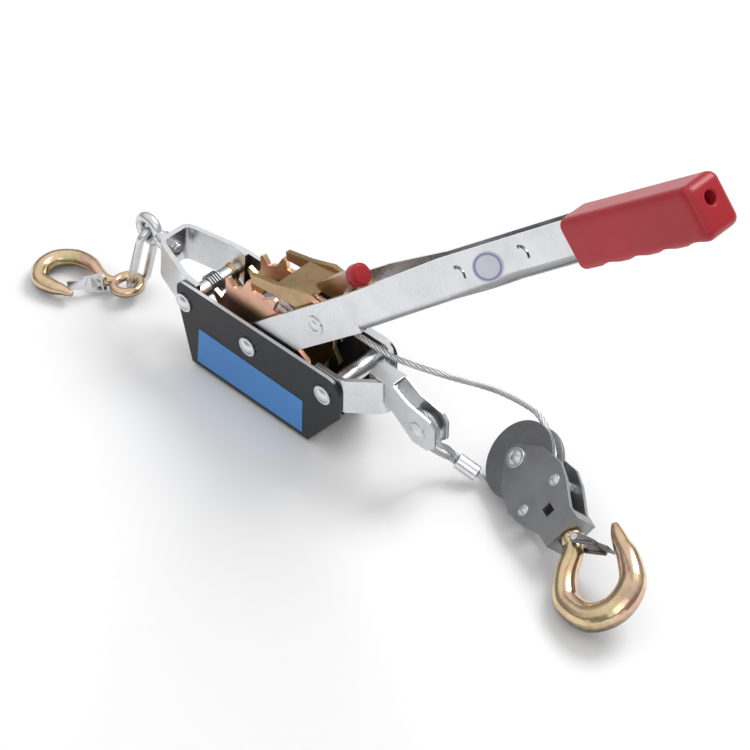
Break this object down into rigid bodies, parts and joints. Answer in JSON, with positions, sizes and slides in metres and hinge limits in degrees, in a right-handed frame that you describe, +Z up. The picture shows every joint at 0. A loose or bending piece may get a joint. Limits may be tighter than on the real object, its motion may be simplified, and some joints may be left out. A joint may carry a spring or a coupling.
{
  "type": "come along winch",
  "caption": "Hand cable puller: folded channel frame, ratchet drum with wire rope, forked lever handle, pulley block and a safety hook at each end.",
  "frame": {"origin": "on the flat underside of the channel frame, straight below the drum axle", "axes": "+X from the rear hook to the pulley block, along the frame; +Y across the frame from the labelled side to the far side; +Z up"},
  "size_m": [0.6196, 0.1339, 0.3879],
  "materials": {
    "black_paint": "gloss black enamel",
    "blue_label": "plain printed blue sheet",
    "zinc": "bright zinc plate",
    "yellow_zinc": "yellow zinc plate, slightly iridescent",
    "dark_steel": "dull dark steel",
    "red_plastic": "moulded, semi gloss",
    "wire_rope": "galvanised strands"
  },
  "bodies": {
    "frame": {"frame_channel": "black_paint", "side_label": "blue_label", "drum_axle": "zinc", "axle_nut": "zinc", "arm_washers": "zinc", "front_pin": "zinc", "rear_pin": "zinc", "front_spacer": "zinc", "rear_spacer": "zinc", "front_bail": "zinc", "stop_pawl_spring": "dark_steel", "rope_run": "wire_rope", "rope_eye": "wire_rope", "rope_ferrule": "zinc", "anchor_hook": "zinc", "anchor_rivet": "zinc", "anchor_thimble": "dark_steel", "block_cheeks": "dark_steel", "block_base": "dark_steel", "block_rivets": "zinc", "sheave_axle": "zinc"},
    "handle": {"handle_fork": "zinc", "handle_grip": "red_plastic", "drive_pawl_pin": "zinc"},
    "drive_pawl": {"drive_pawl": "yellow_zinc", "pawl_knob": "red_plastic"},
    "drum": {"ratchet_wheel_near": "yellow_zinc", "ratchet_wheel_far": "yellow_zinc", "drum_barrel": "dark_steel", "rope_winding": "wire_rope"},
    "stop_pawl": {"stop_pawl": "yellow_zinc"},
    "sheave": {"sheave": "dark_steel"},
    "main_hook": {"main_hook": "yellow_zinc", "hook_nut": "zinc", "main_latch_pin": "zinc"},
    "main_latch": {"main_latch": "dark_steel"},
    "rear_bail": {"rear_bail": "zinc", "swivel_washer": "zinc"},
    "swivel": {"swivel_eye": "zinc"},
    "link": {"rear_link": "zinc"},
    "rear_hook": {"rear_hook": "yellow_zinc", "rear_latch_pin": "zinc"},
    "rear_latch": {"rear_latch": "zinc"}
  },
  "joints": [
    {"name": "handle_swing", "type": "hinge", "parent": "frame", "child": "handle", "pos_m": [0, 0, 0.06], "axis": [0, -1, 0], "range_deg": [0, 90]},
    {"name": "drive_pawl_tip", "type": "hinge", "parent": "handle", "child": "drive_pawl", "pos_m": [0.06717, 0, 0.11839], "axis": [0, -1, 0], "range_deg": [0, 6]},
    {"name": "drum_spin", "type": "hinge", "parent": "frame", "child": "drum", "pos_m": [0, 0, 0.06], "axis": [0, 1, 0], "continuous": true},
    {"name": "stop_pawl_lift", "type": "hinge", "parent": "frame", "child": "stop_pawl", "pos_m": [-0.07, 0, 0.062], "axis": [0, 1, 0], "range_deg": [0, 25], "stiffness_Nm_per_rad": 0.6, "springref_deg": -20.05},
    {"name": "sheave_spin", "type": "hinge", "parent": "frame", "child": "sheave", "pos_m": [0.209, 0.044, 0.027], "axis": [-0.2936, -0.6296, 0.7193], "continuous": true},
    {"name": "main_hook_swivel", "type": "hinge", "parent": "frame", "child": "main_hook", "pos_m": [0.209, 0.044, 0.027], "axis": [0.9063, -0.4226, 0], "continuous": true},
    {"name": "main_latch_open", "type": "hinge", "parent": "main_hook", "child": "main_latch", "pos_m": [0.2895, 0.01008, 0.02929], "axis": [0.2424, 0.5198, -0.8192], "range_deg": [0, 35], "stiffness_Nm_per_rad": 0.08, "springref_deg": -28.65},
    {"name": "rear_bail_swing", "type": "hinge", "parent": "frame", "child": "rear_bail", "pos_m": [-0.07, 0, 0.062], "axis": [0, 1, 0], "range_deg": [-10, 20]},
    {"name": "rear_swivel", "type": "hinge", "parent": "rear_bail", "child": "swivel", "pos_m": [-0.06951, 0, 0.06597], "axis": [0.9925, 0, -0.1219], "continuous": true},
    {"name": "link_swing", "type": "hinge", "parent": "swivel", "child": "link", "pos_m": [-0.14296, 0, 0.07334], "axis": [0, 1, 0], "range_deg": [-20, 20]},
    {"name": "rear_hook_lift", "type": "hinge", "parent": "link", "child": "rear_hook", "pos_m": [-0.166, 0, 0.0043], "axis": [0, 1, 0], "range_deg": [0, 25]},
    {"name": "rear_latch_open", "type": "hinge", "parent": "rear_hook", "child": "rear_latch", "pos_m": [-0.18233, -0.02293, 0.01103], "axis": [0.051, 0.0227, -0.9984], "range_deg": [0, 35], "stiffness_Nm_per_rad": 0.05, "springref_deg": -28.65}
  ]
}
